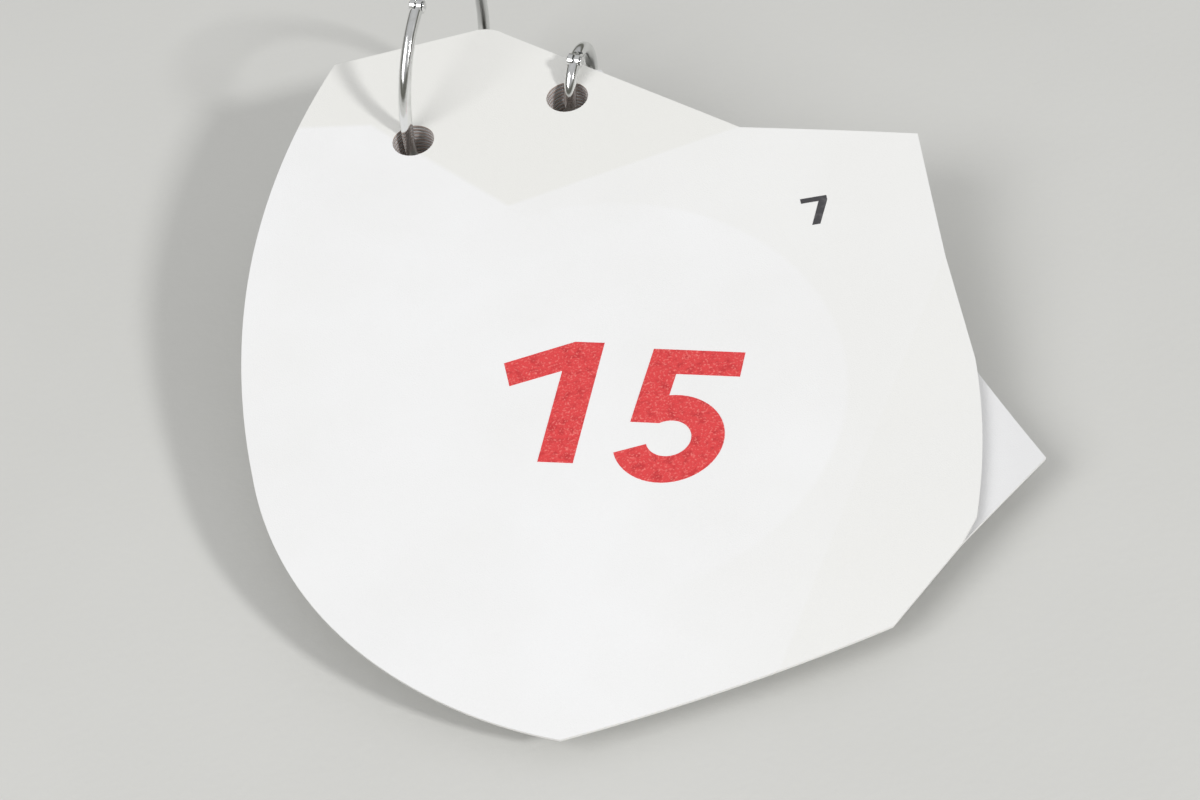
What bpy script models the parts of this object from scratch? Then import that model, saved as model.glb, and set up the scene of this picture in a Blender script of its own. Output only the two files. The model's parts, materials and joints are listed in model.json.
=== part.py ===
"""Loose-leaf ring calendar: punched card leaves on a large and a small hinged wire ring.

Leaf outlines are drawn in leaf coordinates: x runs along the line of the two punched
holes, y runs up the leaf and the origin lies midway between the holes. Both ring centres
lie on one turning axis, which crosses the leaf at RING_YAW to the line of the holes.
Angles round a ring start at the far side and rise over the top, so the leaves are at 180.
"""

import math

import bmesh
import bpy
from mathutils import Matrix, Vector

MM = 0.001

# Leaves
LEAF_WIDTH = 99.3 * MM
LEAF_LENGTH = 123.7 * MM
LEAF_THICKNESS = 0.35 * MM
LEAF_GAP = 0.3 * MM
LEAF_COUNT = 9
HOLE_SPACING = 22.8 * MM
HOLE_RADIUS = 3.0 * MM
HOLE_SIDES = 24
ARC_STEP = 4.5 * MM

# Rings
BIG_HOLE_TO_AXIS = 17.5 * MM
RING_YAW = math.radians(31.0)
SMALL_HOLE_TO_AXIS = BIG_HOLE_TO_AXIS - HOLE_SPACING * math.sin(RING_YAW)
WIRE_RADIUS = 0.9 * MM
WIRE_SIDES = 10
RING_STEP = math.radians(9.0)
SEAT_GAP = 0.3 * MM
BIG_RING_SIDEWAYS = -0.72
SMALL_RING_SIDEWAYS = 0.0

# Ring hinge and catch
LUG_RADIUS = 1.05 * MM
LUG_SIDES = 20
LUG_THICKNESS = 0.7 * MM
PART_LINE = 0.15 * MM
RIVET_RADIUS = 0.3 * MM
RIVET_CLEARANCE = 0.25 * MM
RIVET_HEAD_RADIUS = 0.75 * MM
RIVET_HEAD_HEIGHT = 0.25 * MM
RIVET_HEAD_GAP = 0.1 * MM
CATCH_LENGTH = 2.4 * MM
RIVET_HEAD_TAPER = 0.7
CUTTER_REACH = 4.0 * WIRE_RADIUS
BIG_HINGE_ANGLE = math.radians(104.0)
SMALL_HINGE_ANGLE = math.radians(98.0)

# Looks and limits
CARD_COLOR = (0.92, 0.92, 0.91)
CARD_ROUGHNESS = 0.75
CHROME_COLOR = (0.78, 0.79, 0.81)
CHROME_ROUGHNESS = 0.18
SHARP_ANGLE = math.radians(35.0)
MIN_ARC_STEPS = 2
MIN_RING_STEPS = 4
TILT_ROUNDS = 40

# Outlines are drawn on a sheet of this many units. Each is a list of points with the rise
# of the edge that follows: 0 is a straight edge and a positive rise bows outwards.
SHEET_WIDTH = 99.3
SHEET_LENGTH = 123.7
BACK_LEAF_BOTTOM = -95.0
ACROSS_UNIT = LEAF_WIDTH / SHEET_WIDTH
UP_UNIT = LEAF_LENGTH / SHEET_LENGTH

FRONT_OUTLINE = [
    (-19.0, 20.0, 0.0),
    (2.6, 18.9, 0.5),
    (6.2, 16.4, 0.0),
    (32.5, -15.3, 0.0),
    (55.0, -25.5, 0.0),
    (50.9, -48.0, 0.0),
    (48.4, -66.0, 0.8),
    (39.6, -90.3, 0.0),
    (36.6, -93.4, 0.0),
    (24.9, -101.9, 0.8),
    (-16.5, -103.7, 8.2),
    (-44.3, -51.0, 6.1),
]
INNER_OUTLINES = [
    [
        (-21.0, 14.0, 0.0),
        (3.0, 11.0, 0.0),
        (17.5, 4.2, 0.0),
        (26.7, -34.9, 2.5),
        (35.0, -68.0, 4.5),
        (6.0, -87.0, 2.0),
        (-30.0, -82.0, 5.0),
        (-40.0, -40.0, 3.0),
    ],
    [
        (-18.0, 15.0, 0.0),
        (17.5, 4.2, 0.0),
        (45.9, -54.0, 0.0),
        (51.1, -83.6, 0.0),
        (25.0, -100.0, 0.0),
        (-18.0, -97.0, 3.0),
        (-40.0, -52.0, 4.0),
    ],
    [
        (-22.0, 12.0, 0.0),
        (0.0, 13.0, 0.0),
        (17.8, 3.8, 0.0),
        (49.0, -47.0, 0.0),
        (31.0, -75.0, 0.0),
        (20.0, -97.0, 0.0),
        (-20.0, -95.0, 4.0),
        (-41.0, -58.0, 3.0),
    ],
    [
        (-18.0, 13.0, 0.0),
        (17.5, 4.0, 0.0),
        (38.0, -24.0, 3.0),
        (43.0, -69.0, 2.0),
        (12.0, -98.5, 1.5),
        (-22.0, -93.0, 5.0),
        (-40.0, -48.0, 4.0),
    ],
    [
        (-23.0, 10.0, 0.0),
        (4.0, 11.0, 0.0),
        (17.0, 4.5, 0.0),
        (42.0, -38.0, 0.0),
        (39.0, -80.0, 0.0),
        (2.0, -97.5, 0.0),
        (-34.0, -79.0, 0.0),
        (-41.0, -44.0, 2.0),
    ],
    [
        (-20.0, 12.0, 0.0),
        (18.0, 3.6, 0.0),
        (46.0, -30.0, 0.0),
        (41.5, -75.0, 2.0),
        (16.0, -97.0, 0.0),
        (-16.0, -95.0, 6.0),
        (-41.0, -50.0, 4.0),
    ],
    [
        (-21.0, 12.5, 0.0),
        (2.0, 12.0, 0.0),
        (17.5, 4.1, 0.0),
        (36.0, -26.0, 0.0),
        (45.0, -61.0, 1.0),
        (24.0, -95.0, 0.0),
        (-14.0, -96.0, 7.0),
        (-41.0, -54.0, 4.0),
    ],
]
BACK_OUTLINE = [
    (-19.0, 13.0, 0.0),
    (17.5, 4.0, 0.0),
    (46.0, -28.0, 0.0),
    (42.0, -72.0, 1.5),
    (23.0, BACK_LEAF_BOTTOM, 0.0),
    (-14.0, BACK_LEAF_BOTTOM, 6.0),
    (-41.0, -50.0, 4.0),
]


def clear_scene():
    for obj in list(bpy.data.objects):
        bpy.data.objects.remove(obj, do_unlink=True)


def make_material(name, color, roughness, metallic):
    material = bpy.data.materials.new(name)
    material.use_nodes = True
    shader = material.node_tree.nodes["Principled BSDF"]
    shader.inputs["Base Color"].default_value = (*color, 1.0)
    shader.inputs["Roughness"].default_value = roughness
    shader.inputs["Metallic"].default_value = metallic
    material.diffuse_color = (*color, 1.0)
    return material


def make_empty(name, parent, location, rotation):
    empty = bpy.data.objects.new(name, None)
    bpy.context.scene.collection.objects.link(empty)
    empty.parent = parent
    empty.location = location
    empty.rotation_euler = rotation
    return empty


def link_mesh(name, mesh_data, parent, material):
    """Turn a bmesh into a linked object with outward faces."""
    bmesh.ops.recalc_face_normals(mesh_data, faces=mesh_data.faces)
    mesh = bpy.data.meshes.new(name)
    mesh_data.to_mesh(mesh)
    mesh_data.free()
    mesh.shade_smooth()
    mesh.set_sharp_from_angle(angle=SHARP_ANGLE)
    mesh.materials.append(material)
    obj = bpy.data.objects.new(name, mesh)
    bpy.context.scene.collection.objects.link(obj)
    obj.parent = parent
    return obj


def add_boolean(obj, cutter, operation):
    modifier = obj.modifiers.new(operation.title(), "BOOLEAN")
    modifier.operation = operation
    modifier.solver = "EXACT"
    modifier.object = cutter
    cutter.hide_render = True
    cutter.display_type = "WIRE"


def edge_points(start, end, rise):
    """Points along one outline edge, without its end: a line, or an arc of the given rise."""
    chord = end - start
    if rise == 0.0:
        return [start]
    half = chord.length / 2.0
    radius = (half * half + rise * rise) / (2.0 * rise)
    outward = Vector((-chord.y, chord.x)).normalized()
    centre = (start + end) / 2.0 - outward * (radius - rise)
    sweep = 2.0 * math.asin(min(1.0, half / radius))
    steps = max(MIN_ARC_STEPS, round(radius * sweep / ARC_STEP))
    spoke = start - centre
    return [centre + Matrix.Rotation(-sweep * i / steps, 2) @ spoke for i in range(steps)]


def outline_points(outline):
    """Outline corners run clockwise, so the left of each edge is outside."""
    corners = [Vector((x * ACROSS_UNIT, y * UP_UNIT)) for x, y, _ in outline]
    points = []
    for index, (_, _, rise) in enumerate(outline):
        end = corners[(index + 1) % len(corners)]
        points += edge_points(corners[index], end, rise * ACROSS_UNIT)
    return points


def circle_points(centre, radius, sides):
    turns = [2.0 * math.pi * i / sides for i in range(sides)]
    return [centre + Vector((radius * math.cos(a), radius * math.sin(a))) for a in turns]


def leaf_to_axis(point):
    """Leaf coordinates to turning-axis coordinates: x along the axis, y up the leaf."""
    first_hole = Vector((-HOLE_SPACING / 2.0, 0.0))
    turned = Matrix.Rotation(RING_YAW, 2) @ (point - first_hole)
    return turned - Vector((0.0, BIG_HOLE_TO_AXIS))


def leaf_height(index):
    """Middle of a leaf above the turning axis; the stack is centred on the axis."""
    pitch = LEAF_THICKNESS + LEAF_GAP
    return ((LEAF_COUNT - 1) / 2.0 - index) * pitch


def ring_shift(sideways):
    """Shift of a ring along the axis, from its share of the wire's play in the hole."""
    return sideways * (HOLE_RADIUS - WIRE_RADIUS - SEAT_GAP)


def ring_radius(hole_to_axis, sideways):
    """The wire bears on the edge of its holes in the top and bottom leaves."""
    stack_half = leaf_height(0) + LEAF_THICKNESS / 2.0
    clearance = WIRE_RADIUS + SEAT_GAP
    seat = (HOLE_RADIUS - clearance) * math.sqrt(1.0 - sideways**2)
    return math.hypot(hole_to_axis - seat - clearance, stack_half) + clearance


def build_leaf(name, outline, height, axis_empty, material):
    """Cut one card leaf with its two punched holes."""
    holes = [Vector((side * HOLE_SPACING / 2.0, 0.0)) for side in (-1.0, 1.0)]
    loops = [outline_points(outline)]
    loops += [circle_points(hole, HOLE_RADIUS, HOLE_SIDES) for hole in holes]
    mesh_data = bmesh.new()
    edges = []
    for loop in loops:
        flat = [leaf_to_axis(point) for point in loop]
        base = height - LEAF_THICKNESS / 2.0
        verts = [mesh_data.verts.new((p.x, p.y, base)) for p in flat]
        edges += [mesh_data.edges.new((verts[i - 1], verts[i])) for i in range(len(verts))]
    bmesh.ops.triangle_fill(mesh_data, use_beauty=True, use_dissolve=False, edges=edges)
    faces = list(mesh_data.faces)
    raised = bmesh.ops.extrude_face_region(mesh_data, geom=faces, use_keep_orig=True)
    top = [item for item in raised["geom"] if isinstance(item, bmesh.types.BMVert)]
    bmesh.ops.translate(mesh_data, verts=top, vec=(0.0, 0.0, LEAF_THICKNESS))
    return link_mesh(name, mesh_data, axis_empty, material)


def ring_point(radius, angle):
    return Vector((0.0, radius * math.cos(angle), radius * math.sin(angle)))


def build_wire(name, radius, start, end, parent, material):
    """Sweep the round wire along an arc of the ring and cap both ends."""
    steps = max(MIN_RING_STEPS, math.ceil((end - start) / RING_STEP))
    mesh_data = bmesh.new()
    rings = []
    for i in range(steps + 1):
        angle = start + (end - start) * i / steps
        centre = ring_point(radius, angle)
        outward = centre.normalized()
        verts = []
        for side in range(WIRE_SIDES):
            turn = 2.0 * math.pi * (side + 0.5) / WIRE_SIDES
            offset = outward * math.cos(turn) + Vector((math.sin(turn), 0.0, 0.0))
            verts.append(mesh_data.verts.new(centre + offset * WIRE_RADIUS))
        rings.append(verts)
    for near, far in zip(rings, rings[1:]):
        for side in range(WIRE_SIDES):
            quad = (near[side - 1], near[side], far[side], far[side - 1])
            mesh_data.faces.new(quad)
    mesh_data.faces.new(rings[0])
    mesh_data.faces.new(rings[-1])
    return link_mesh(name, mesh_data, parent, material)


def build_disc(name, centre, radius, low, high, sides, parent, material):
    """A short cylinder along the turning axis between two x positions."""
    mesh_data = bmesh.new()
    bmesh.ops.create_cone(
        mesh_data,
        cap_ends=True,
        segments=sides,
        radius1=radius,
        radius2=radius,
        depth=high - low,
        matrix=Matrix.Translation(centre + Vector(((low + high) / 2.0, 0.0, 0.0)))
        @ Matrix.Rotation(math.pi / 2.0, 4, "Y"),
    )
    return link_mesh(name, mesh_data, parent, material)


def build_half_ring(name, radius, hinge_angle, is_gate, parent, material):
    """Half a ring: a lug at the hinge and a lapped tongue at the catch, split at x = 0."""
    side = -1.0 if is_gate else 1.0
    catch_lap = CATCH_LENGTH / 2.0 / radius
    catch_angle = hinge_angle + side * (math.pi + catch_lap)
    start, end = sorted((hinge_angle, catch_angle))
    half = build_wire(name, radius, start, end, parent, material)
    pivot = ring_point(radius, hinge_angle)
    near, far = sorted((side * PART_LINE, side * (PART_LINE + LUG_THICKNESS)))
    lug = build_disc(
        name + ".lug", pivot, LUG_RADIUS, near, far, LUG_SIDES, parent, material
    )
    add_boolean(half, lug, "UNION")
    near, far = sorted((side * PART_LINE, -side * CUTTER_REACH))
    hinge_relief = build_disc(
        name + ".relief",
        pivot,
        LUG_RADIUS + SEAT_GAP,
        near,
        far,
        LUG_SIDES,
        parent,
        material,
    )
    add_boolean(half, hinge_relief, "DIFFERENCE")
    catch_middle = ring_point(radius, hinge_angle + math.pi)
    catch_relief = build_disc(
        name + ".catch",
        catch_middle,
        CATCH_LENGTH / 2.0 + SEAT_GAP,
        near,
        far,
        LUG_SIDES,
        parent,
        material,
    )
    add_boolean(half, catch_relief, "DIFFERENCE")
    rivet_hole = build_disc(
        name + ".hole",
        pivot,
        RIVET_RADIUS + RIVET_CLEARANCE,
        -CUTTER_REACH,
        CUTTER_REACH,
        LUG_SIDES // 2,
        parent,
        material,
    )
    add_boolean(half, rivet_hole, "DIFFERENCE")
    return half


def build_rivet(name, radius, hinge_angle, parent, material):
    """The hinge rivet: a shank through both lugs with a head on each side."""
    pivot = ring_point(radius, hinge_angle)
    inner = PART_LINE + LUG_THICKNESS + RIVET_HEAD_GAP
    outer = inner + RIVET_HEAD_HEIGHT
    profile = [
        (-outer, RIVET_HEAD_RADIUS * RIVET_HEAD_TAPER),
        (-inner, RIVET_HEAD_RADIUS),
        (-inner, RIVET_RADIUS),
        (inner, RIVET_RADIUS),
        (inner, RIVET_HEAD_RADIUS),
        (outer, RIVET_HEAD_RADIUS * RIVET_HEAD_TAPER),
    ]
    sides = LUG_SIDES // 2
    mesh_data = bmesh.new()
    rings = []
    for x, reach in profile:
        verts = []
        for i in range(sides):
            turn = 2.0 * math.pi * i / sides
            offset = Vector((x, reach * math.cos(turn), reach * math.sin(turn)))
            verts.append(mesh_data.verts.new(pivot + offset))
        rings.append(verts)
    for near, far in zip(rings, rings[1:]):
        for i in range(sides):
            mesh_data.faces.new((near[i - 1], near[i], far[i], far[i - 1]))
    mesh_data.faces.new(rings[0])
    mesh_data.faces.new(rings[-1])
    return link_mesh(name, mesh_data, parent, material)


def build_ring(prefix, hole_place, sideways, hinge_angle, axis_empty, material):
    """One hinged ring round the turning axis: fixed half, gate and rivet."""
    along_axis, hole_to_axis = hole_place
    radius = ring_radius(hole_to_axis, sideways)
    place = (along_axis + ring_shift(sideways), 0.0, 0.0)
    centre = make_empty(prefix + "_centre", axis_empty, place, (0.0, 0.0, 0.0))
    build_half_ring(prefix + "_fixed_half", radius, hinge_angle, False, centre, material)
    build_half_ring(prefix + "_gate", radius, hinge_angle, True, centre, material)
    build_rivet(prefix + "_hinge_rivet", radius, hinge_angle, centre, material)


def resting_tilt():
    """Tilt that lays the back leaf's bottom edge and the big ring on one flat surface."""
    radius = ring_radius(BIG_HOLE_TO_AXIS, BIG_RING_SIDEWAYS)
    shift_up_leaf = -ring_shift(BIG_RING_SIDEWAYS) * math.sin(RING_YAW)
    centre_up_leaf = BIG_HOLE_TO_AXIS * math.cos(RING_YAW) + shift_up_leaf
    reach = centre_up_leaf - BACK_LEAF_BOTTOM * UP_UNIT
    drop = LEAF_THICKNESS / 2.0 - leaf_height(LEAF_COUNT - 1)
    tilt = 0.0
    for _ in range(TILT_ROUNDS):
        lean = math.sin(RING_YAW) * math.sin(tilt)
        ring_drop = radius * math.sqrt(1.0 - lean**2) + WIRE_RADIUS
        tilt = math.asin((ring_drop - drop * math.cos(tilt)) / reach)
    return tilt


def centre_on_origin(base):
    """Move the calendar so that its box stands centred on the origin at z = 0."""
    bpy.context.view_layer.update()
    depsgraph = bpy.context.evaluated_depsgraph_get()
    corners = []
    for obj in bpy.data.objects:
        if obj.type == "MESH" and not obj.hide_render:
            shape = obj.evaluated_get(depsgraph).to_mesh()
            corners += [obj.matrix_world @ vert.co for vert in shape.vertices]
    for axis in range(2):
        values = [corner[axis] for corner in corners]
        base.location[axis] -= (min(values) + max(values)) / 2.0
    base.location.z -= min(corner.z for corner in corners)
    bpy.context.view_layer.update()


def main():
    clear_scene()
    paper = make_material("white_card", CARD_COLOR, CARD_ROUGHNESS, 0.0)
    wire = make_material("bright_wire", CHROME_COLOR, CHROME_ROUGHNESS, 1.0)
    base = make_empty("calendar_base", None, (0.0, 0.0, 0.0), (0.0, 0.0, 0.0))
    leaf_plane = make_empty("leaf_plane", base, (0.0, 0.0, 0.0), (resting_tilt(), 0.0, 0.0))
    axis_empty = make_empty(
        "turning_axis", leaf_plane, (0.0, 0.0, 0.0), (0.0, 0.0, -RING_YAW)
    )
    outlines = [FRONT_OUTLINE, *INNER_OUTLINES, BACK_OUTLINE]
    for index in range(LEAF_COUNT):
        suffix = {0: "_front", LEAF_COUNT - 1: "_back"}.get(index, "")
        name = f"leaf_{index + 1}{suffix}"
        build_leaf(name, outlines[index], leaf_height(index), axis_empty, paper)
    big_place = (0.0, BIG_HOLE_TO_AXIS)
    build_ring(
        "big_ring", big_place, BIG_RING_SIDEWAYS, BIG_HINGE_ANGLE, axis_empty, wire
    )
    small_place = (HOLE_SPACING * math.cos(RING_YAW), SMALL_HOLE_TO_AXIS)
    build_ring(
        "small_ring", small_place, SMALL_RING_SIDEWAYS, SMALL_HINGE_ANGLE, axis_empty, wire
    )
    centre_on_origin(base)


main()
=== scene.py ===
import json
import math

import bmesh
import bpy
from mathutils import Matrix, Vector
from mathutils.geometry import delaunay_2d_cdt
from mathutils.kdtree import KDTree


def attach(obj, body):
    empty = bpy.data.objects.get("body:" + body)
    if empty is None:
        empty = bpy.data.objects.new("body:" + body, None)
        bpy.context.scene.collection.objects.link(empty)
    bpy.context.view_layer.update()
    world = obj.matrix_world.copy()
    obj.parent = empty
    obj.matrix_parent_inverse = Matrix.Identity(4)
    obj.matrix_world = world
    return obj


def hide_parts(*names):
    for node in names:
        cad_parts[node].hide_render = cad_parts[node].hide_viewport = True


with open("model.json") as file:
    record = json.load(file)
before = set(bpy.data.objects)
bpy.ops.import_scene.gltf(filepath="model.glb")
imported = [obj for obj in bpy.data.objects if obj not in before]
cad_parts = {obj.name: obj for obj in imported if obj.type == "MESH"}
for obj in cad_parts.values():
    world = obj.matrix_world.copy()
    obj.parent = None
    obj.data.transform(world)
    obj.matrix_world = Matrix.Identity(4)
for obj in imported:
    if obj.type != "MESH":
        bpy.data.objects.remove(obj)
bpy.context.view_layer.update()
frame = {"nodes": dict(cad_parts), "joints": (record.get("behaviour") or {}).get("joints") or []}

mm = 0.001
joints = {joint["name"]: joint for joint in frame["joints"]}
print("frame loaded:", len(frame["nodes"]), "nodes")


# Places on the leaves are in millimetres: across runs along the two holes, up runs
# towards the rings, and the origin lies midway between the holes on the front face.
leafPlace = {
    "origin": (-5.32, 35.99, 18.048),
    "tiltDegrees": 7.5891,
    "pitch": 0.65,
    "thickness": 0.35,
}
leafTilt = math.radians(leafPlace["tiltDegrees"])
leafOrigin = Vector(leafPlace["origin"]) * mm
leafUp = Vector((0.0, math.cos(leafTilt), math.sin(leafTilt)))
leafOut = Vector((0.0, -math.sin(leafTilt), math.cos(leafTilt)))


def leafPoint(across, up, height):
    alongHoles = Vector((across, 0.0, 0.0))
    return leafOrigin + (alongHoles + leafUp * up + leafOut * height) * mm


def smoothStep(low, high, value):
    t = min(1.0, max(0.0, (value - low) / (high - low)))
    return t * t * (3.0 - 2.0 * t)


leafCurl = {
    "drop": 0.9,              # how far the long sides sink, in mm
    "halfWidth": 50.0,
    "ripple": 0.05,           # each leaf's own unevenness
    "rippleLength": 11.0,
    "rippleShift": 1.7,       # how far the ripple moves on from leaf to leaf
    "holdTop": (-8.0, -45.0),
    "holdBottom": (-93.0, -70.0),
}


def curlHeight(across, up, leafIndex):
    hold = smoothStep(*leafCurl["holdTop"], up) * smoothStep(*leafCurl["holdBottom"], up)
    drop = leafCurl["drop"] * (across / leafCurl["halfWidth"]) ** 2
    phase = leafCurl["rippleShift"] * leafIndex
    length = leafCurl["rippleLength"]
    wave = math.sin(across / length + phase) * math.cos(up / length - phase)
    return hold * (leafCurl["ripple"] * wave - drop)


# Shader helpers

def addNode(tree, kind, **settings):
    made = tree.nodes.new(kind)
    for name, value in settings.items():
        setattr(made, name, value)
    return made


def feed(tree, socket, value):
    # A socket is linked and a plain value is set.
    if isinstance(value, bpy.types.NodeSocket):
        tree.links.new(value, socket)
    else:
        socket.default_value = value


def mathOf(tree, operation, *values, clamp=False):
    made = addNode(tree, "ShaderNodeMath", operation=operation, use_clamp=clamp)
    for socket, value in zip(made.inputs, values):
        feed(tree, socket, value)
    return made.outputs[0]


def vectorOf(tree, operation, *values):
    made = addNode(tree, "ShaderNodeVectorMath", operation=operation)
    for socket, value in zip(made.inputs, values):
        feed(tree, socket, value)
    return made.outputs["Value" if operation == "DOT_PRODUCT" else "Vector"]


def rangeOf(tree, value, fromLow, fromHigh, toLow, toHigh, smooth=False):
    made = addNode(tree, "ShaderNodeMapRange", clamp=True)
    if smooth:
        made.interpolation_type = "SMOOTHSTEP"
    for name, number in (
        ("Value", value),
        ("From Min", fromLow),
        ("From Max", fromHigh),
        ("To Min", toLow),
        ("To Max", toHigh),
    ):
        feed(tree, made.inputs[name], number)
    return made.outputs["Result"]


def blendColor(tree, factor, first, second):
    # A Mix node set to colour has its two colours at inputs 6 and 7.
    made = addNode(tree, "ShaderNodeMix", data_type="RGBA")
    feed(tree, made.inputs[0], factor)
    feed(tree, made.inputs[6], first)
    feed(tree, made.inputs[7], second)
    return made.outputs[2]


def noiseOf(tree, vector, scale, detail):
    made = addNode(tree, "ShaderNodeTexNoise")
    feed(tree, made.inputs["Vector"], vector)
    feed(tree, made.inputs["Scale"], scale)
    feed(tree, made.inputs["Detail"], detail)
    return made.outputs["Fac"]


def newGroup(name, inputs, outputs):
    tree = bpy.data.node_groups.new(name, "ShaderNodeTree")
    for socketName, kind in inputs:
        tree.interface.new_socket(name=socketName, in_out="INPUT", socket_type=kind)
    for socketName, kind in outputs:
        tree.interface.new_socket(name=socketName, in_out="OUTPUT", socket_type=kind)
    return tree, addNode(tree, "NodeGroupInput"), addNode(tree, "NodeGroupOutput")


def useGroup(tree, group, **values):
    made = addNode(tree, "ShaderNodeGroup", node_tree=group)
    for name, value in values.items():
        spaced = "".join(" " + c if c.isupper() else c for c in name)
        feed(tree, made.inputs[spaced[0].upper() + spaced[1:]], value)
    return made


floatSocket = "NodeSocketFloat"
vectorSocket = "NodeSocketVector"
grainShape = {
    "fineDetail": 3.0,
    "broadDetail": 4.0,
    "broadRelief": 0.5,       # part of the broad noise in the relief
}


def buildLeafPlaceGroup():
    # Object coordinates to places on the leaf, in millimetres.
    tree, given, result = newGroup(
        "leafPlaceGroup",
        [("Position", vectorSocket)],
        [("Across", floatSocket), ("Up", floatSocket)],
    )
    fromOrigin = vectorOf(tree, "SUBTRACT", given.outputs["Position"], leafOrigin)
    across = vectorOf(tree, "DOT_PRODUCT", fromOrigin, (1.0 / mm, 0.0, 0.0))
    up = vectorOf(tree, "DOT_PRODUCT", fromOrigin, leafUp / mm)
    feed(tree, result.inputs["Across"], across)
    feed(tree, result.inputs["Up"], up)
    return tree


def buildGrainGroup():
    # Fibre or grain at two scales: a fine one for relief and a broad one for tone.
    tree, given, result = newGroup(
        "grainGroup",
        [("Position", vectorSocket), ("Fine Scale", floatSocket), ("Broad Scale", floatSocket)],
        [("Fine", floatSocket), ("Broad", floatSocket), ("Relief", floatSocket)],
    )
    value = given.outputs
    fine = noiseOf(tree, value["Position"], value["Fine Scale"], grainShape["fineDetail"])
    broad = noiseOf(tree, value["Position"], value["Broad Scale"], grainShape["broadDetail"])
    relief = mathOf(tree, "MULTIPLY_ADD", broad, grainShape["broadRelief"], fine)
    feed(tree, result.inputs["Fine"], fine)
    feed(tree, result.inputs["Broad"], broad)
    feed(tree, result.inputs["Relief"], relief)
    return tree


def buildLineSideGroup():
    # 1 on the side of a line that its normal points to, with a soft edge.
    tree, given, result = newGroup(
        "lineSideGroup",
        [
            ("Across", floatSocket),
            ("Up", floatSocket),
            ("Line Across", floatSocket),
            ("Line Up", floatSocket),
            ("Normal Across", floatSocket),
            ("Normal Up", floatSocket),
            ("Softness", floatSocket),
        ],
        [("Side", floatSocket)],
    )
    value = given.outputs
    fromAcross = mathOf(tree, "SUBTRACT", value["Across"], value["Line Across"])
    fromUp = mathOf(tree, "SUBTRACT", value["Up"], value["Line Up"])
    partAcross = mathOf(tree, "MULTIPLY", fromAcross, value["Normal Across"])
    distance = mathOf(tree, "MULTIPLY_ADD", fromUp, value["Normal Up"], partAcross)
    negative = mathOf(tree, "MULTIPLY", value["Softness"], -1.0)
    side = rangeOf(tree, distance, negative, value["Softness"], 0.0, 1.0, smooth=True)
    feed(tree, result.inputs["Side"], side)
    return tree


leafPlaceGroup = buildLeafPlaceGroup()
grainGroup = buildGrainGroup()
lineSideGroup = buildLineSideGroup()


def newMaterial(name):
    material = bpy.data.materials.new(name)
    material.use_nodes = True
    tree = material.node_tree
    shader = tree.nodes["Principled BSDF"]
    coordinates = addNode(tree, "ShaderNodeTexCoord")
    return material, tree, shader, coordinates


def addGrain(tree, coordinates, finish):
    return useGroup(
        tree,
        grainGroup,
        position=coordinates.outputs["Object"],
        fineScale=finish["fineScale"],
        broadScale=finish["broadScale"],
    )


def addRelief(tree, shader, height, finish):
    bump = addNode(tree, "ShaderNodeBump")
    bump.inputs["Strength"].default_value = finish["reliefStrength"]
    bump.inputs["Distance"].default_value = finish["relief"]
    feed(tree, bump.inputs["Height"], height)
    feed(tree, shader.inputs["Normal"], bump.outputs["Normal"])


# White card

cardFinish = {
    "color": (0.86, 0.86, 0.862, 1.0),
    "shade": (0.835, 0.833, 0.828, 1.0),
    # The inner leaves get a darker copy of the card colours: painted shade from the leaves in
    # front.
    "innerPaintedShadeColor": (0.79, 0.79, 0.797, 1.0),
    "innerPaintedShadeCloud": (0.75, 0.748, 0.75, 1.0),
    "cutEdge": (0.78, 0.775, 0.76, 1.0),
    # Warm brown on the cut walls round the holes: painted shade with a painted warm reflection.
    "holeWall": (0.50, 0.41, 0.37, 1.0),
    "holeAcross": 11.4,
    "holeReach": (3.2, 3.6),
    "fineScale": 5200.0,
    "broadScale": 45.0,
    "cloudRange": (0.35, 0.65),
    "edgeRange": (0.3, 0.7),   # how far a face leans before it counts as cut edge
    "grainRange": (0.3, 0.7),
    "roughness": (0.66, 0.8),
    "shine": 0.3,
    "relief": 0.06 * mm,
    "reliefStrength": 0.5,
}
# Darker, yellower zones on the front leaf: painted shade, for less light showing through where
# fewer leaves lie behind.
paintedShowThroughShade = {
    "color": (0.80, 0.795, 0.765, 1.0),
    "strength": 0.9,
    "softness": 0.5,
    "topLines": [              # edges of the painted shade at the top, which runs round both holes
        ((-16.5, 5.5), (-1.7, -17.7)),
        ((-1.7, -17.7), (32.5, -15.3)),
    ],
    "shoulderLine": ((-27.3, 9.3), (-16.5, 5.5)),
    "sideLine": ((31.6, -73.9), (50.5, -47.9)),
    "sideStrength": 0.6,
    "roundCentre": (0.0, -54.0),
    "roundRadius": 33.5,
    "roundFade": (-5.0, 25.0), # across, from where the round painted shade is faint to full
    "roundStrength": 0.42,
}


def lineSide(tree, place, start, end, softness):
    # The side to the left of the way from start to end.
    along = Vector((end[0] - start[0], end[1] - start[1])).normalized()
    return useGroup(
        tree,
        lineSideGroup,
        across=place.outputs["Across"],
        up=place.outputs["Up"],
        lineAcross=start[0],
        lineUp=start[1],
        normalAcross=-along.y,
        normalUp=along.x,
        softness=softness,
    ).outputs["Side"]


def lengthOf(tree, across, up):
    squares = mathOf(tree, "MULTIPLY_ADD", across, across, mathOf(tree, "MULTIPLY", up, up))
    return mathOf(tree, "SQRT", squares)


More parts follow.
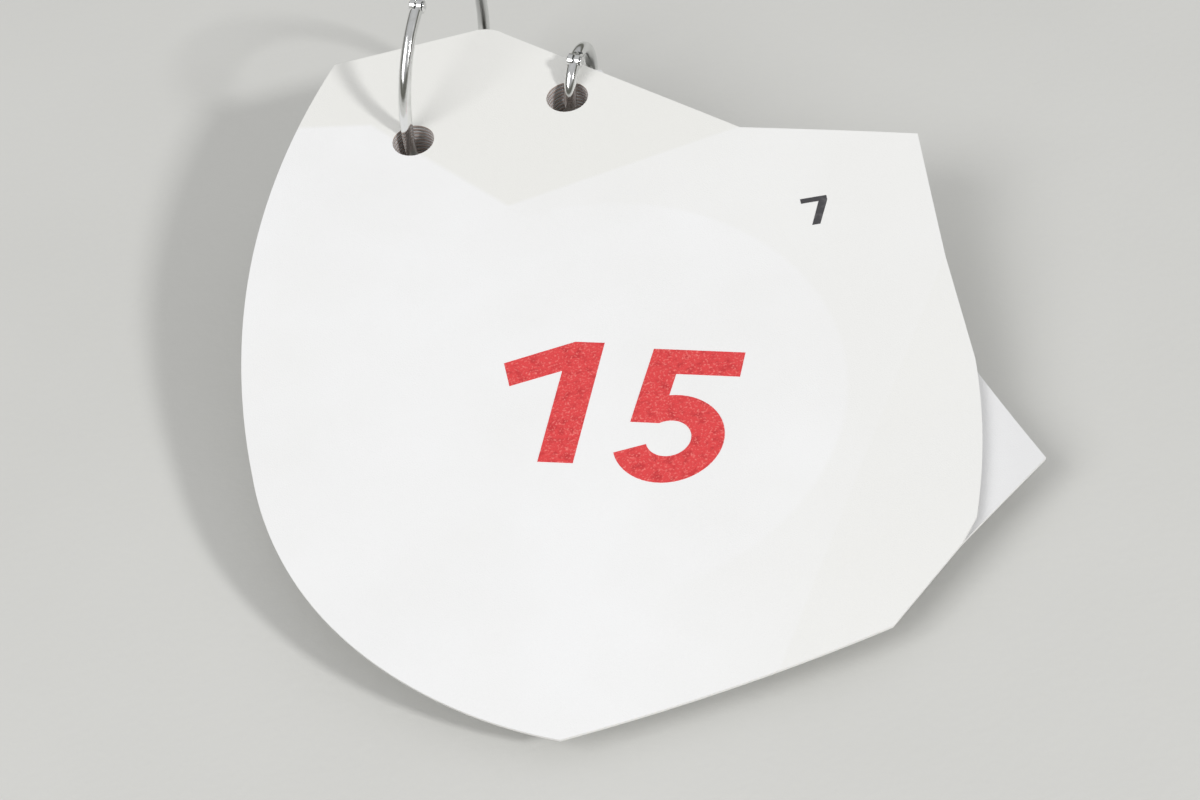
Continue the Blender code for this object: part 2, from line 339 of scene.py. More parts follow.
def addPaintedShowThroughShade(tree, place, base):
    # Blends the zones of painted shade into the card colour.
    soft = paintedShowThroughShade["softness"]
    sides = [lineSide(tree, place, *line, soft) for line in paintedShowThroughShade["topLines"]]
    vee = mathOf(tree, "MULTIPLY", *sides)
    shoulder = lineSide(tree, place, *paintedShowThroughShade["shoulderLine"], soft)
    topMask = mathOf(tree, "MAXIMUM", vee, shoulder)
    side = lineSide(tree, place, *reversed(paintedShowThroughShade["sideLine"]), soft)
    sideMask = mathOf(tree, "MULTIPLY", side, paintedShowThroughShade["sideStrength"])
    centre = paintedShowThroughShade["roundCentre"]
    offAcross = mathOf(tree, "SUBTRACT", place.outputs["Across"], centre[0])
    offUp = mathOf(tree, "SUBTRACT", place.outputs["Up"], centre[1])
    reach = lengthOf(tree, offAcross, offUp)
    radius = paintedShowThroughShade["roundRadius"]
    outside = rangeOf(tree, reach, radius - soft, radius + soft, 0.0, 1.0, smooth=True)
    fade = rangeOf(
        tree, place.outputs["Across"], *paintedShowThroughShade["roundFade"], 0.0, paintedShowThroughShade["roundStrength"]
    )
    roundMask = mathOf(tree, "MULTIPLY", outside, fade)
    mask = mathOf(tree, "MAXIMUM", topMask, mathOf(tree, "MAXIMUM", sideMask, roundMask))
    strength = mathOf(tree, "MULTIPLY", mask, paintedShowThroughShade["strength"], clamp=True)
    return blendColor(tree, strength, base, paintedShowThroughShade["color"])


def buildCard(name, color, shade, hasPaintedShade):
    material, tree, shader, coordinates = newMaterial(name)
    grain = addGrain(tree, coordinates, cardFinish)
    cloud = rangeOf(tree, grain.outputs["Broad"], *cardFinish["cloudRange"], 0.0, 1.0)
    color = blendColor(tree, cloud, color, shade)
    place = useGroup(tree, leafPlaceGroup, position=coordinates.outputs["Object"])
    # Only the front card gets the painted show-through shade.
    if hasPaintedShade:
        color = addPaintedShowThroughShade(tree, place, color)
    facing = vectorOf(tree, "DOT_PRODUCT", coordinates.outputs["Normal"], leafOut)
    flat = mathOf(tree, "ABSOLUTE", facing)
    edge = rangeOf(tree, flat, *cardFinish["edgeRange"], 1.0, 0.0)
    fromMiddle = mathOf(tree, "ABSOLUTE", place.outputs["Across"])
    # Near the holes the cut walls take the painted warm shade; elsewhere they keep the cut-edge
    # colour.
    fromHole = mathOf(tree, "SUBTRACT", fromMiddle, cardFinish["holeAcross"])
    reach = lengthOf(tree, fromHole, place.outputs["Up"])
    inHole = rangeOf(tree, reach, *cardFinish["holeReach"], 1.0, 0.0)
    cut = blendColor(tree, inHole, cardFinish["cutEdge"], cardFinish["holeWall"])
    color = blendColor(tree, edge, color, cut)
    feed(tree, shader.inputs["Base Color"], color)
    rough = rangeOf(
        tree, grain.outputs["Fine"], *cardFinish["grainRange"], *cardFinish["roughness"]
    )
    feed(tree, shader.inputs["Roughness"], rough)
    shader.inputs["Specular IOR Level"].default_value = cardFinish["shine"]
    addRelief(tree, shader, grain.outputs["Relief"], cardFinish)
    return material


frontCard = buildCard("frontCard", cardFinish["color"], cardFinish["shade"], True)
# Inner leaves: the card with the darker colours, painted shade.
innerCardPaintedShade = buildCard("innerCardPaintedShade", cardFinish["innerPaintedShadeColor"], cardFinish["innerPaintedShadeCloud"], False)
print("card materials built")


# Printed red and grey

redFoil = {
    "color": (0.73, 0.052, 0.055, 1.0),
    "patches": (0.50, 0.02, 0.026, 1.0),
    "flecks": (0.88, 0.20, 0.18, 1.0),
    "patchRange": (0.5, 0.68, 0.0, 0.7),
    "fleckRange": (0.54, 0.68, 0.0, 0.9),
    "fineScale": 3400.0,
    "broadScale": 900.0,
    "grainRange": (0.35, 0.65),
    "roughness": (0.35, 0.6),
    "relief": 0.16 * mm,
    "reliefStrength": 0.8,
}
greyInk = {
    "color": (0.055, 0.053, 0.058, 1.0),
    "patches": (0.11, 0.108, 0.112, 1.0),
    "patchRange": (0.5, 0.7, 0.0, 1.0),
    "fineScale": 5200.0,
    "broadScale": 900.0,
    "grainRange": (0.35, 0.65),
    "roughness": (0.5, 0.7),
    "relief": 0.03 * mm,
    "reliefStrength": 0.8,
}


def buildPrint(name, finish):
    material, tree, shader, coordinates = newMaterial(name)
    grain = addGrain(tree, coordinates, finish)
    patches = rangeOf(tree, grain.outputs["Broad"], *finish["patchRange"])
    color = blendColor(tree, patches, finish["color"], finish["patches"])
    if "flecks" in finish:
        flecks = rangeOf(tree, grain.outputs["Fine"], *finish["fleckRange"])
        color = blendColor(tree, flecks, color, finish["flecks"])
    feed(tree, shader.inputs["Base Color"], color)
    rough = rangeOf(tree, grain.outputs["Fine"], *finish["grainRange"], *finish["roughness"])
    feed(tree, shader.inputs["Roughness"], rough)
    addRelief(tree, shader, grain.outputs["Relief"], finish)
    return material


redPrint = buildPrint("redPrint", redFoil)
greyPrint = buildPrint("greyPrint", greyInk)


# Bright plated wire

chromeFinish = {
    "color": (0.79, 0.795, 0.79, 1.0),
    "dull": (0.50, 0.50, 0.465, 1.0),
    "smudgeRange": (0.55, 0.75, 0.0, 0.6),
    "fineScale": 1800.0,
    "broadScale": 240.0,
    "grainRange": (0.4, 0.75),
    "roughness": (0.09, 0.26),
    "relief": 0.012 * mm,
    "reliefStrength": 0.35,
}


def buildChrome():
    material, tree, shader, coordinates = newMaterial("brightWire")
    grain = addGrain(tree, coordinates, chromeFinish)
    smudge = rangeOf(tree, grain.outputs["Broad"], *chromeFinish["smudgeRange"])
    color = blendColor(tree, smudge, chromeFinish["color"], chromeFinish["dull"])
    feed(tree, shader.inputs["Base Color"], color)
    shader.inputs["Metallic"].default_value = 1.0
    rough = rangeOf(
        tree, grain.outputs["Broad"], *chromeFinish["grainRange"], *chromeFinish["roughness"]
    )
    feed(tree, shader.inputs["Roughness"], rough)
    addRelief(tree, shader, grain.outputs["Relief"], chromeFinish)
    return material


brightWire = buildChrome()
print("print and wire materials built")


# Flat sheets cut to an outline

sheetMesh = {
    "edgeClearance": 0.6,     # of the grid spacing, kept free along every edge
    "mergeDistance": 1e-6,
    "sharpDegrees": 50.0,
}


def arcEdge(start, end, rise, step):
    # Points along one outline edge without its end: a line, or an arc with this rise.
    chord = end - start
    if rise == 0.0:
        count = max(1, round(chord.length / step))
        return [start + chord * i / count for i in range(count)]
    half = chord.length / 2.0
    radius = (half * half + rise * rise) / (2.0 * rise)
    outward = Vector((-chord.y, chord.x)).normalized()
    centre = (start + end) / 2.0 - outward * (radius - rise)
    sweep = 2.0 * math.asin(min(1.0, half / radius))
    count = max(2, round(radius * sweep / step))
    spoke = start - centre
    return [centre + Matrix.Rotation(-sweep * i / count, 2) @ spoke for i in range(count)]


def closedOutline(corners, step):
    places = [Vector(corner[:2]) for corner in corners]
    points = []
    for index, corner in enumerate(corners):
        rise = corner[2] if len(corner) > 2 else 0.0
        points += arcEdge(places[index], places[(index + 1) % len(places)], rise, step)
    return points


def circleOutline(centre, radius, count):
    turns = [2.0 * math.pi * i / count for i in range(count)]
    return [centre + Vector((math.cos(a), math.sin(a))) * radius for a in turns]


def isInside(point, loop):
    inside = False
    for here, there in zip(loop, loop[1:] + loop[:1]):
        if (here.y > point.y) != (there.y > point.y):
            slope = (there.x - here.x) / (there.y - here.y)
            if point.x < here.x + slope * (point.y - here.y):
                inside = not inside
    return inside


def spreadPoints(outline, holes, spacing):
    # Points on a staggered grid inside the outline, clear of every edge.
    edgePoints = outline + [point for hole in holes for point in hole]
    tree = KDTree(len(edgePoints))
    for index, point in enumerate(edgePoints):
        tree.insert(point.to_3d(), index)
    tree.balance()
    low = [min(point[axis] for point in outline) for axis in range(2)]
    high = [max(point[axis] for point in outline) for axis in range(2)]
    rowHeight = spacing * math.sqrt(3.0) / 2.0
    points = []
    for row in range(math.ceil((high[1] - low[1]) / rowHeight)):
        shift = spacing / 2.0 * (row % 2)
        for column in range(math.ceil((high[0] - low[0]) / spacing) + 1):
            point = Vector((low[0] + column * spacing - shift, low[1] + row * rowHeight))
            clear = tree.find(point.to_3d())[2] > sheetMesh["edgeClearance"] * spacing
            if clear and isInside(point, outline) and not any(isInside(point, h) for h in holes):
                points.append(point)
    return points


def buildSheet(name, outline, holes, spacing, topAt, thickness):
    # One closed sheet: an even mesh on both faces and a wall round every edge.
    loops = [outline, *holes]
    points = [point for loop in loops for point in loop]
    edges = []
    first = 0
    for loop in loops:
        count = len(loop)
        edges += [(first + i, first + (i + 1) % count) for i in range(count)]
        first += count
    points += spreadPoints(outline, holes, spacing)
    places, _, faces, *_ = delaunay_2d_cdt(points, edges, [], 0, sheetMesh["mergeDistance"])
    sheet = bmesh.new()
    top = [sheet.verts.new(leafPoint(p.x, p.y, topAt(p.x, p.y))) for p in places]
    low = [sheet.verts.new(leafPoint(p.x, p.y, topAt(p.x, p.y) - thickness)) for p in places]
    for face in faces:
        middle = sum((places[i] for i in face), Vector((0.0, 0.0))) / len(face)
        if isInside(middle, outline) and not any(isInside(middle, hole) for hole in holes):
            sheet.faces.new([top[i] for i in face])
            sheet.faces.new([low[i] for i in reversed(face)])
    partner = dict(zip(top, low))
    rims = [edge for edge in sheet.edges if edge.is_boundary and edge.verts[0] in partner]
    for edge in rims:
        near, far = edge.verts
        sheet.faces.new((near, far, partner[far], partner[near]))
    bmesh.ops.recalc_face_normals(sheet, faces=sheet.faces)
    mesh = bpy.data.meshes.new(name)
    sheet.to_mesh(mesh)
    sheet.free()
    mesh.shade_smooth()
    mesh.set_sharp_from_angle(angle=math.radians(sheetMesh["sharpDegrees"]))
    made = bpy.data.objects.new(name, mesh)
    bpy.context.scene.collection.objects.link(made)
    return made


# Card leaves

cardLeaves = {
    "holeSpacing": 22.8,
    "holeRadius": 3.0,
    "holeSides": 72,
    "edgeStep": 1.2,
    "gridSpacing": 3.2,
    "outlines": [              # corners with the rise of the edge that follows each
        [
            (-19.0, 20.0, 0.0), (2.6, 18.9, 0.5), (6.2, 16.4, 0.0), (32.5, -15.3, 0.0),
            (55.0, -25.5, 0.0), (50.9, -48.0, 0.0), (48.4, -66.0, 0.8), (39.6, -90.3, 0.0),
            (36.6, -93.4, 0.0), (24.9, -101.9, 0.8), (-16.5, -103.7, 8.2), (-44.3, -51.0, 6.1),
        ],
        [
            (-21.0, 14.0, 0.0), (3.0, 11.0, 0.0), (17.5, 4.2, 0.0), (26.7, -34.9, 2.5),
            (35.0, -68.0, 4.5), (6.0, -87.0, 2.0), (-30.0, -82.0, 5.0), (-40.0, -40.0, 3.0),
        ],
        [
            (-18.0, 15.0, 0.0), (17.5, 4.2, 0.0), (45.9, -54.0, 0.0), (51.1, -83.6, 0.0),
            (25.0, -100.0, 0.0), (-18.0, -97.0, 3.0), (-40.0, -52.0, 4.0),
        ],
        [
            (-22.0, 12.0, 0.0), (0.0, 13.0, 0.0), (17.8, 3.8, 0.0), (49.0, -47.0, 0.0),
            (31.0, -75.0, 0.0), (20.0, -97.0, 0.0), (-20.0, -95.0, 4.0), (-41.0, -58.0, 3.0),
        ],
        [
            (-18.0, 13.0, 0.0), (17.5, 4.0, 0.0), (38.0, -24.0, 3.0), (43.0, -69.0, 2.0),
            (12.0, -98.5, 1.5), (-22.0, -93.0, 5.0), (-40.0, -48.0, 4.0),
        ],
        [
            (-23.0, 10.0, 0.0), (4.0, 11.0, 0.0), (17.0, 4.5, 0.0), (42.0, -38.0, 0.0),
            (39.0, -80.0, 0.0), (2.0, -97.5, 0.0), (-34.0, -79.0, 0.0), (-41.0, -44.0, 2.0),
        ],
        [
            (-20.0, 12.0, 0.0), (18.0, 3.6, 0.0), (46.0, -30.0, 0.0), (41.5, -75.0, 2.0),
            (16.0, -97.0, 0.0), (-16.0, -95.0, 6.0), (-41.0, -50.0, 4.0),
        ],
        [
            (-21.0, 12.5, 0.0), (2.0, 12.0, 0.0), (17.5, 4.1, 0.0), (36.0, -26.0, 0.0),
            (45.0, -61.0, 1.0), (24.0, -95.0, 0.0), (-14.0, -96.0, 7.0), (-41.0, -54.0, 4.0),
        ],
        [
            (-19.0, 13.0, 0.0), (17.5, 4.0, 0.0), (46.0, -28.0, 0.0), (42.0, -72.0, 1.5),
            (23.0, -95.0, 0.0), (-14.0, -95.0, 6.0), (-41.0, -50.0, 4.0),
        ],
    ],
}


def leafName(index):
    suffix = {0: "_front", len(cardLeaves["outlines"]) - 1: "_back"}.get(index, "")
    return f"leaf_{index + 1}{suffix}"


def leafBody(index):
    names = {0: "front_leaf", len(cardLeaves["outlines"]) - 1: "back_leaf"}
    return names.get(index, f"leaf_{index + 1}")


def buildLeaf(index):
    half = cardLeaves["holeSpacing"] / 2.0
    holes = [
        circleOutline(Vector((place, 0.0)), cardLeaves["holeRadius"], cardLeaves["holeSides"])
        for place in (-half, half)
    ]
    outline = closedOutline(cardLeaves["outlines"][index], cardLeaves["edgeStep"])
    leaf = buildSheet(
        f"cardLeaf{index + 1}",
        outline,
        holes,
        cardLeaves["gridSpacing"],
        lambda x, y: curlHeight(x, y, index) - leafPlace["pitch"] * index,
        leafPlace["thickness"],
    )
    # Inner leaves take the darker card, painted shade from the leaves in front.
    leaf.data.materials.append(frontCard if index == 0 else innerCardPaintedShade)
    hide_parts(leafName(index))
    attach(leaf, leafBody(index))


for leafIndex in range(len(cardLeaves["outlines"])):
    buildLeaf(leafIndex)
print("leaves cut:", len(cardLeaves["outlines"]))


# Numerals, in plain shapes of their own

numerals = {
    "thickness": 0.03,
    "lift": 0.035,             # top of the print over the card
}
dayNumerals = {
    "place": (-4.7, -64.6),
    "degrees": -24.0,
    "slant": 0.05,
    "spacing": 1.6,
    "edgeStep": 0.8,
}
monthNumeral = {
    "place": (35.4, -36.4),
    "degrees": -8.0,
    "slant": 0.0,
    "spacing": 0.8,
    "edgeStep": 0.4,
}


def arcPoints(centre, radius, fromDegrees, toDegrees, count):
    turns = [
        math.radians(fromDegrees + (toDegrees - fromDegrees) * i / count) for i in range(count + 1)
    ]
    return [(centre[0] + radius * math.cos(a), centre[1] + radius * math.sin(a)) for a in turns]


glyphs = {
    "One": [
        (-4.6, 0.0), (0.0, 0.0), (0.0, 20.0), (-3.9, 20.0),
        (-12.6, 15.9), (-11.0, 12.1), (-4.6, 15.0),
    ],
    "Five": [(6.7, 19.3), (18.7, 19.3), (18.7, 15.2), (10.4, 15.2)]
    + arcPoints((11.4, 4.6), 7.1, 100.0, -158.0, 40)
    + arcPoints((11.4, 4.6), 2.9, -158.0, 125.0, 30)
    + [(6.0, 7.0)],
    "Seven": [
        (0.0, 5.0), (3.6, 5.0), (3.6, 4.2), (1.9, 0.0), (0.8, 0.0), (2.4, 4.15), (0.0, 4.15),
    ],
}


def buildNumeral(name, glyph, layout, material):
    turn = Matrix.Rotation(math.radians(layout["degrees"]), 2)
    corners = [
        tuple(Vector(layout["place"]) + turn @ Vector((x + layout["slant"] * y, y)))
        for x, y in glyphs[glyph]
    ]
    numeral = buildSheet(
        name,
        closedOutline(corners, layout["edgeStep"]),
        [],
        layout["spacing"],
        lambda x, y: curlHeight(x, y, 0) + numerals["lift"],
        numerals["thickness"],
    )
    numeral.data.materials.append(material)
    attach(numeral, "front_leaf")


buildNumeral("dayNumeralOne", "One", dayNumerals, redPrint)
buildNumeral("dayNumeralFive", "Five", dayNumerals, redPrint)
buildNumeral("monthNumeralSeven", "Seven", monthNumeral, greyPrint)
print("numerals printed")


# Hinged wire rings, swept and cut by one Geometry Nodes tree

ringWire = {
    "wireRadius": 0.9,
    "profileSides": 32,
    "stepsPerRing": 220,
    "partLine": 0.15,
    "lugRadius": 1.05,
    "lugThickness": 0.7,
    "lugSides": 48,
    "hingeRelief": 1.35,
    "catchRelief": 1.5,
    "catchLap": 1.2,
    "rivetHole": 0.55,
    "drillLength": 6.0,        # in wire radii
    "mergeDistance": 1e-7,
    "sharpDegrees": 35.0,
}
ringRivet = {
    "shankRadius": 0.3,
    "headStart": 0.95,
    "headProfile": [(0.0, 0.75), (0.09, 0.72), (0.17, 0.6), (0.23, 0.38), (0.25, 0.0)],
    "sides": 36,
    "sharpDegrees": 40.0,
}


def buildRingTree():
    tree = bpy.data.node_groups.new("ringHalfTree", "GeometryNodeTree")
    for name in (
        "Ring Radius", "Wire Radius", "Sweep", "Side", "Part Line", "Lug Radius",
        "Lug Thickness", "Hinge Relief", "Catch Relief", "Rivet Hole",
    ):
        tree.interface.new_socket(name=name, in_out="INPUT", socket_type="NodeSocketFloat")
    for name in ("Steps", "Profile Sides", "Lug Sides"):
        tree.interface.new_socket(name=name, in_out="INPUT", socket_type="NodeSocketInt")
    tree.interface.new_socket(
        name="Material", in_out="INPUT", socket_type="NodeSocketMaterial"
    )
    tree.interface.new_socket(name="Half Ring", in_out="OUTPUT", socket_type="NodeSocketGeometry")
    value = addNode(tree, "NodeGroupInput").outputs
    result = addNode(tree, "NodeGroupOutput")

    arc = addNode(tree, "GeometryNodeCurveArc", mode="RADIUS")
    feed(tree, arc.inputs["Resolution"], value["Steps"])
    feed(tree, arc.inputs["Radius"], value["Ring Radius"])
    feed(tree, arc.inputs["Start Angle"], 0.0)
    feed(tree, arc.inputs["Sweep Angle"], value["Sweep"])
    profile = addNode(tree, "GeometryNodeCurvePrimitiveCircle", mode="RADIUS")
    feed(tree, profile.inputs["Resolution"], value["Profile Sides"])
    feed(tree, profile.inputs["Radius"], value["Wire Radius"])
    swept = addNode(tree, "GeometryNodeCurveToMesh")
    feed(tree, swept.inputs["Curve"], arc.outputs["Curve"])
    feed(tree, swept.inputs["Profile Curve"], profile.outputs["Curve"])
    feed(tree, swept.inputs["Fill Caps"], True)

    # Near the hinge and the catch the wire keeps only its own side of the part line.
    place = addNode(tree, "GeometryNodeInputPosition").outputs["Position"]
    parts = addNode(tree, "ShaderNodeSeparateXYZ")
    feed(tree, parts.inputs["Vector"], place)
    squareUp = mathOf(tree, "MULTIPLY", parts.outputs["Y"], parts.outputs["Y"])
    near = []
    for sign, relief in ((-1.0, "Hinge Relief"), (1.0, "Catch Relief")):
        away = mathOf(
            tree, "MULTIPLY_ADD", value["Ring Radius"], sign, parts.outputs["X"]
        )
        reach = mathOf(tree, "SQRT", mathOf(tree, "MULTIPLY_ADD", away, away, squareUp))
        near.append(mathOf(tree, "LESS_THAN", reach, value[relief]))
    inRelief = mathOf(tree, "MAXIMUM", *near)
    own = mathOf(tree, "MULTIPLY", parts.outputs["Z"], value["Side"])
    cut = mathOf(tree, "MAXIMUM", own, value["Part Line"])
    cutPlace = addNode(tree, "ShaderNodeCombineXYZ")
    feed(tree, cutPlace.inputs["X"], parts.outputs["X"])
    feed(tree, cutPlace.inputs["Y"], parts.outputs["Y"])
    feed(tree, cutPlace.inputs["Z"], mathOf(tree, "MULTIPLY", cut, value["Side"]))
    lapped = addNode(tree, "GeometryNodeSetPosition")
    feed(tree, lapped.inputs["Geometry"], swept.outputs["Mesh"])
    feed(tree, lapped.inputs["Selection"], inRelief)
    feed(tree, lapped.inputs["Position"], cutPlace.outputs["Vector"])

    lug = addNode(tree, "GeometryNodeMeshCylinder")
    feed(tree, lug.inputs["Vertices"], value["Lug Sides"])
    feed(tree, lug.inputs["Radius"], value["Lug Radius"])
    feed(tree, lug.inputs["Depth"], value["Lug Thickness"])
    half = mathOf(tree, "MULTIPLY_ADD", value["Lug Thickness"], 0.5, value["Part Line"])
    lugPlace = addNode(tree, "ShaderNodeCombineXYZ")
    feed(tree, lugPlace.inputs["X"], value["Ring Radius"])
    feed(tree, lugPlace.inputs["Z"], mathOf(tree, "MULTIPLY", half, value["Side"]))
    moved = addNode(tree, "GeometryNodeTransform")
    feed(tree, moved.inputs["Geometry"], lug.outputs["Mesh"])
    feed(tree, moved.inputs["Translation"], lugPlace.outputs["Vector"])
    joined = addNode(tree, "GeometryNodeMeshBoolean", operation="UNION", solver="EXACT")
    tree.links.new(lapped.outputs["Geometry"], joined.inputs["Mesh 2"])
    tree.links.new(moved.outputs["Geometry"], joined.inputs["Mesh 2"])

    drill = addNode(tree, "GeometryNodeMeshCylinder")
    feed(tree, drill.inputs["Vertices"], value["Lug Sides"])
    feed(tree, drill.inputs["Radius"], value["Rivet Hole"])
    drillDepth = mathOf(tree, "MULTIPLY", value["Wire Radius"], ringWire["drillLength"])
    feed(tree, drill.inputs["Depth"], drillDepth)
    drillPlace = addNode(tree, "ShaderNodeCombineXYZ")
    feed(tree, drillPlace.inputs["X"], value["Ring Radius"])
    drillMoved = addNode(tree, "GeometryNodeTransform")
    feed(tree, drillMoved.inputs["Geometry"], drill.outputs["Mesh"])
    feed(tree, drillMoved.inputs["Translation"], drillPlace.outputs["Vector"])
    drilled = addNode(tree, "GeometryNodeMeshBoolean", operation="DIFFERENCE", solver="EXACT")
    tree.links.new(joined.outputs["Mesh"], drilled.inputs["Mesh 1"])
    tree.links.new(drillMoved.outputs["Geometry"], drilled.inputs["Mesh 2"])

    smooth = addNode(tree, "GeometryNodeSetShadeSmooth")
    feed(tree, smooth.inputs["Geometry"], drilled.outputs["Mesh"])
    real = addNode(tree, "GeometryNodeRealizeInstances")
    feed(tree, real.inputs["Geometry"], smooth.outputs["Geometry"])
    finished = addNode(tree, "GeometryNodeSetMaterial")
    feed(tree, finished.inputs["Geometry"], real.outputs["Geometry"])
    feed(tree, finished.inputs["Material"], value["Material"])
    feed(tree, result.inputs["Half Ring"], finished.outputs["Geometry"])
    return tree


def treeResult(name, tree, values):
    # Runs the tree on an empty mesh and keeps its result as a plain mesh.
    carrier = bpy.data.objects.new(name + "Maker", bpy.data.meshes.new(name + "Maker"))
    bpy.context.scene.collection.objects.link(carrier)
    modifier = carrier.modifiers.new("nodes", "NODES")
    modifier.node_group = tree
    for item in tree.interface.items_tree:
        if item.item_type == "SOCKET" and item.in_out == "INPUT":
            modifier[item.identifier] = values[item.name]
    bpy.context.view_layer.update()
    depsgraph = bpy.context.evaluated_depsgraph_get()
    mesh = bpy.data.meshes.new_from_object(carrier.evaluated_get(depsgraph))
    bpy.data.objects.remove(carrier, do_unlink=True)
    mesh.name = name
    made = bpy.data.objects.new(name, mesh)
    bpy.context.scene.collection.objects.link(made)
    return made


def tidyMesh(mesh, sharpDegrees):
    shape = bmesh.new()
    shape.from_mesh(mesh)
    bmesh.ops.remove_doubles(shape, verts=shape.verts, dist=ringWire["mergeDistance"])
    bmesh.ops.recalc_face_normals(shape, faces=shape.faces)
    shape.to_mesh(mesh)
    shape.free()
    mesh.shade_smooth()
    mesh.set_sharp_from_angle(angle=math.radians(sharpDegrees))


def ringFrame(prefix):
    # The ring's centre, its radius, and the turn that puts its hinge on local X.
    centre = Vector(joints[prefix + "_turn"]["pos_m"])
    spoke = Vector(joints[prefix + "_open"]["pos_m"]) - centre
    along = Vector(joints[prefix + "_turn"]["axis"]).normalized()
    toHinge = spoke.normalized()
    across = along.cross(toHinge)
    turn = Matrix((toHinge, across, along)).transposed().to_4x4()
    return Matrix.Translation(centre) @ turn, spoke.length


def buildRingHalf(prefix, node, name, side, body):
    place, radius = ringFrame(prefix)
    lap = ringWire["catchLap"] * mm / radius
    half = treeResult(
        name,
        ringTree,
        {
            "Ring Radius": radius,
            "Wire Radius": ringWire["wireRadius"] * mm,
            "Sweep": side * (math.pi + lap),
            "Side": side,
            "Part Line": ringWire["partLine"] * mm,
            "Lug Radius": ringWire["lugRadius"] * mm,
            "Lug Thickness": ringWire["lugThickness"] * mm,
            "Hinge Relief": ringWire["hingeRelief"] * mm,
            "Catch Relief": ringWire["catchRelief"] * mm,
            "Rivet Hole": ringWire["rivetHole"] * mm,
            "Steps": ringWire["stepsPerRing"],
            "Profile Sides": ringWire["profileSides"],
            "Lug Sides": ringWire["lugSides"],
            "Material": brightWire,
        },
    )
    half.data.transform(place)
    tidyMesh(half.data, ringWire["sharpDegrees"])
    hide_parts(node)
    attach(half, body)


def buildRivet(prefix, name):
    place, radius = ringFrame(prefix)
    start = ringRivet["headStart"]
    head = [(start + x, r) for x, r in ringRivet["headProfile"]]
    shank = ringRivet["shankRadius"]
    profile = [(-z, r) for z, r in reversed(head)] + [(-start, shank), (start, shank)] + head
    sides = ringRivet["sides"]
    shape = bmesh.new()
    rows = []
    for z, r in profile:
        if r == 0.0:
            rows.append([shape.verts.new((0.0, 0.0, z))])
        else:
            turns = [2.0 * math.pi * i / sides for i in range(sides)]
            rows.append([shape.verts.new((r * math.cos(a), r * math.sin(a), z)) for a in turns])
    for near, far in zip(rows, rows[1:]):
        for i in range(sides):
            nearPair = near if len(near) == 1 else [near[i - 1], near[i]]
            farPair = far if len(far) == 1 else [far[i], far[i - 1]]
            shape.faces.new([*nearPair, *farPair])
    mesh = bpy.data.meshes.new(name)
    shape.to_mesh(mesh)
    shape.free()
    hinge = place @ Matrix.Translation((radius, 0.0, 0.0))
    mesh.transform(hinge @ Matrix.Scale(mm, 4))
    mesh.materials.append(brightWire)
    tidyMesh(mesh, ringRivet["sharpDegrees"])
    rivet = bpy.data.objects.new(name, mesh)
    bpy.context.scene.collection.objects.link(rivet)
    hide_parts(prefix + "_hinge_rivet")
    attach(rivet, prefix)


ringTree = buildRingTree()
for ringPrefix, plainName in (("big_ring", "bigRing"), ("small_ring", "smallRing")):
    buildRingHalf(ringPrefix, ringPrefix + "_fixed_half", plainName + "FixedHalf", 1.0, ringPrefix)
    buildRingHalf(
        ringPrefix, ringPrefix + "_gate", plainName + "Gate", -1.0, ringPrefix + "_gate"
    )
    buildRivet(ringPrefix, plainName + "Rivet")
print("rings bent and riveted")


# Floor, light and camera

floorFinish = {
    "size": 8.0,
    "color": (0.65, 0.648, 0.625, 1.0),
    "vary": (0.63, 0.628, 0.605, 1.0),
    "cloudScale": 14.0,
    "cloudDetail": 3.0,
    "cloudRange": (0.35, 0.65),
    "fineScale": 900.0,
    "fineDetail": 4.0,
    "relief": 0.15 * mm,
    "reliefStrength": 0.25,
    "roughness": 0.95,
    "shine": 0.1,
}
studio = {
    "sky": [                   # height of the direction, and its colour
        (0.0, (0.62, 0.62, 0.60)),
        (0.06, (0.58, 0.58, 0.56)),
        (0.12, (0.13, 0.13, 0.11)),
        (0.34, (0.15, 0.15, 0.13)),
        (0.50, (0.46, 0.46, 0.465)),
        (1.0, (0.59, 0.595, 0.60)),
    ],
    "keyPlace": (1.25, -1.65, 1.25),
    "keySize": 0.25,
    "keyWatts": 30.0,
    "fillPlace": (-1.30, -0.70, 1.30),
    "fillSize": 1.2,
    "fillWatts": 16.5,
}
cameraPlace = {
    "location": (-0.0273383, -0.2656299, 0.2353878),
    "azimuth": -5.3972,
    "elevation": 42.2582,
    "roll": -12.6489,
    "lens": 78.0,
    "sensorWidth": 36.0,
    "nearest": 0.01,
}


def buildFloor():
    size = floorFinish["size"] / 2.0
    mesh = bpy.data.meshes.new("studioFloor")
    corners = [(-size, -size, 0.0), (size, -size, 0.0), (size, size, 0.0), (-size, size, 0.0)]
    mesh.from_pydata(corners, [], [(0, 1, 2, 3)])
    material, tree, shader, coordinates = newMaterial("paleFloor")
    place = coordinates.outputs["Object"]
    cloud = noiseOf(tree, place, floorFinish["cloudScale"], floorFinish["cloudDetail"])
    vary = rangeOf(tree, cloud, *floorFinish["cloudRange"], 0.0, 1.0)
    color = blendColor(tree, vary, floorFinish["color"], floorFinish["vary"])
    feed(tree, shader.inputs["Base Color"], color)
    shader.inputs["Roughness"].default_value = floorFinish["roughness"]
    shader.inputs["Specular IOR Level"].default_value = floorFinish["shine"]
    fine = noiseOf(tree, place, floorFinish["fineScale"], floorFinish["fineDetail"])
    addRelief(tree, shader, fine, floorFinish)
    mesh.materials.append(material)
    floor = bpy.data.objects.new("studioFloor", mesh)
    bpy.context.scene.collection.objects.link(floor)


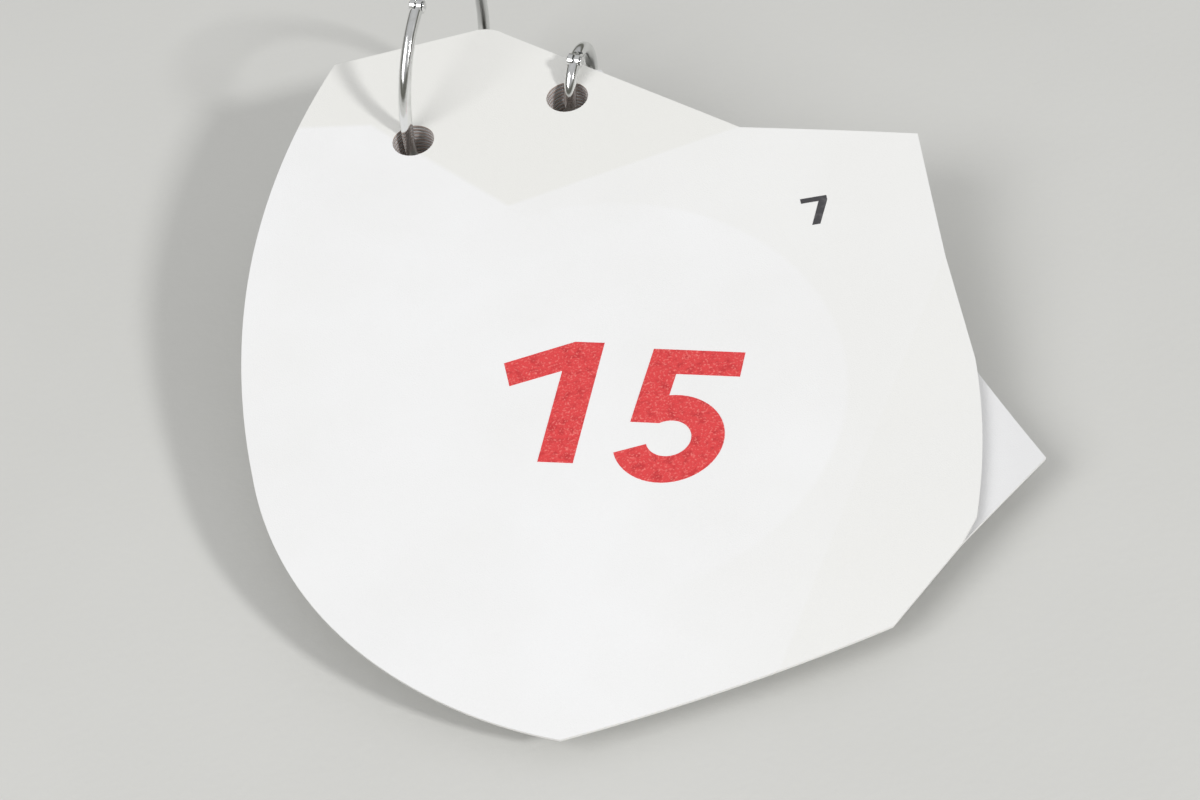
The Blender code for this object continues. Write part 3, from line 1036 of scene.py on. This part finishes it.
def buildWorld():
    world = bpy.data.worlds.new("studioWorld")
    bpy.context.scene.world = world
    world.use_nodes = True
    tree = world.node_tree
    background = tree.nodes["Background"]
    direction = addNode(tree, "ShaderNodeTexCoord").outputs["Generated"]
    parts = addNode(tree, "ShaderNodeSeparateXYZ")
    feed(tree, parts.inputs["Vector"], direction)
    ramp = addNode(tree, "ShaderNodeValToRGB")
    feed(tree, ramp.inputs["Fac"], parts.outputs["Z"])
    stops = ramp.color_ramp.elements
    for index, (height, color) in enumerate(studio["sky"]):
        stop = stops[index] if index < 2 else stops.new(height)
        stop.position = height
        stop.color = (*color, 1.0)
    feed(tree, background.inputs["Color"], ramp.outputs["Color"])
    background.inputs["Strength"].default_value = 1.0


def addLamp(name, place, size, watts):
    lamp = bpy.data.lights.new(name, "AREA")
    lamp.size = size
    lamp.energy = watts
    made = bpy.data.objects.new(name, lamp)
    bpy.context.scene.collection.objects.link(made)
    made.location = place
    made.rotation_mode = "QUATERNION"
    made.rotation_quaternion = (-Vector(place)).to_track_quat("-Z", "Y")


def buildCamera():
    camera = bpy.data.cameras.new("photoCamera")
    camera.lens = cameraPlace["lens"]
    camera.sensor_width = cameraPlace["sensorWidth"]
    camera.clip_start = cameraPlace["nearest"]
    made = bpy.data.objects.new("photoCamera", camera)
    bpy.context.scene.collection.objects.link(made)
    azimuth, elevation, roll = (
        math.radians(cameraPlace[key]) for key in ("azimuth", "elevation", "roll")
    )
    back = Vector(
        (
            math.sin(azimuth) * math.cos(elevation),
            -math.cos(azimuth) * math.cos(elevation),
            math.sin(elevation),
        )
    )
    level = Vector((math.cos(azimuth), math.sin(azimuth), 0.0))
    right = level * math.cos(roll) + back.cross(level) * math.sin(roll)
    turn = Matrix((right, back.cross(right), back)).transposed().to_4x4()
    made.matrix_world = Matrix.Translation(cameraPlace["location"]) @ turn
    bpy.context.scene.camera = made


buildFloor()
buildWorld()
addLamp("keyLamp", studio["keyPlace"], studio["keySize"], studio["keyWatts"])
addLamp("fillLamp", studio["fillPlace"], studio["fillSize"], studio["fillWatts"])
buildCamera()
bpy.context.scene.view_settings.view_transform = "Standard"
print("studio set")
